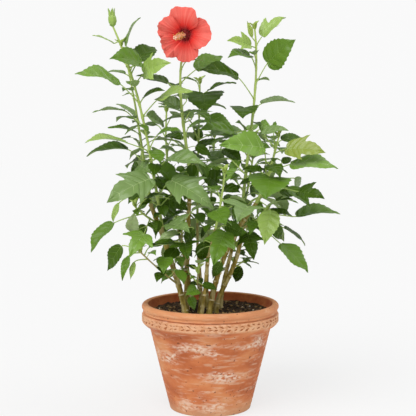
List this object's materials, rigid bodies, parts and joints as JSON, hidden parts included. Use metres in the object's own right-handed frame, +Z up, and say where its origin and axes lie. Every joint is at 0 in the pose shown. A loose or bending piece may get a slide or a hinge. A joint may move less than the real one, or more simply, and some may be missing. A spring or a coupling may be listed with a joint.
{
  "type": "potted hibiscus shrub",
  "caption": "Leafy hibiscus shrub with upright woody stems, toothed and lobed leaves, an open coral-red bloom and a bud, rooted in a tapered terracotta pot.",
  "frame": {"origin": "centre of the flat underside of the pot", "axes": "+Z up along the pot's axis, -Y towards the front where the bloom faces, +X to the right seen from the front"},
  "size_m": [0.5645, 0.4741, 0.865],
  "materials": {
    "terracotta": "fired clay, matt, with pale mineral bloom",
    "soil": "dark moist potting soil with bark chips",
    "bark": "grey-brown to olive bark with leaf scars",
    "foliage": "glossy mid green leaves, paler beneath",
    "petal": "soft coral-red petals",
    "stamens": "yellow-orange stamens"
  },
  "bodies": {
    "root": {"pot": "terracotta", "soil": "soil", "stem_left": "bark", "stem_centre": "bark", "stem_middle": "bark", "stem_front": "bark", "stem_right": "bark", "stem_right_back": "bark", "stem_back_left": "bark", "stem_back_right": "bark", "stem_back": "bark", "foliage_left_tall": "foliage", "foliage_left_second": "foliage", "foliage_left_front": "foliage", "foliage_left_low": "foliage", "foliage_centre": "foliage", "foliage_centre_low": "foliage", "foliage_middle": "foliage", "foliage_right_tall": "foliage", "foliage_right_spreading": "foliage", "foliage_right_low": "foliage", "foliage_front": "foliage", "foliage_low": "foliage", "foliage_low_left": "foliage", "foliage_low_right": "foliage", "foliage_back_left": "foliage", "foliage_back_right": "foliage", "foliage_back": "foliage", "bloom_petals": "petal", "bloom_column": "stamens"}
  },
  "joints": []
}
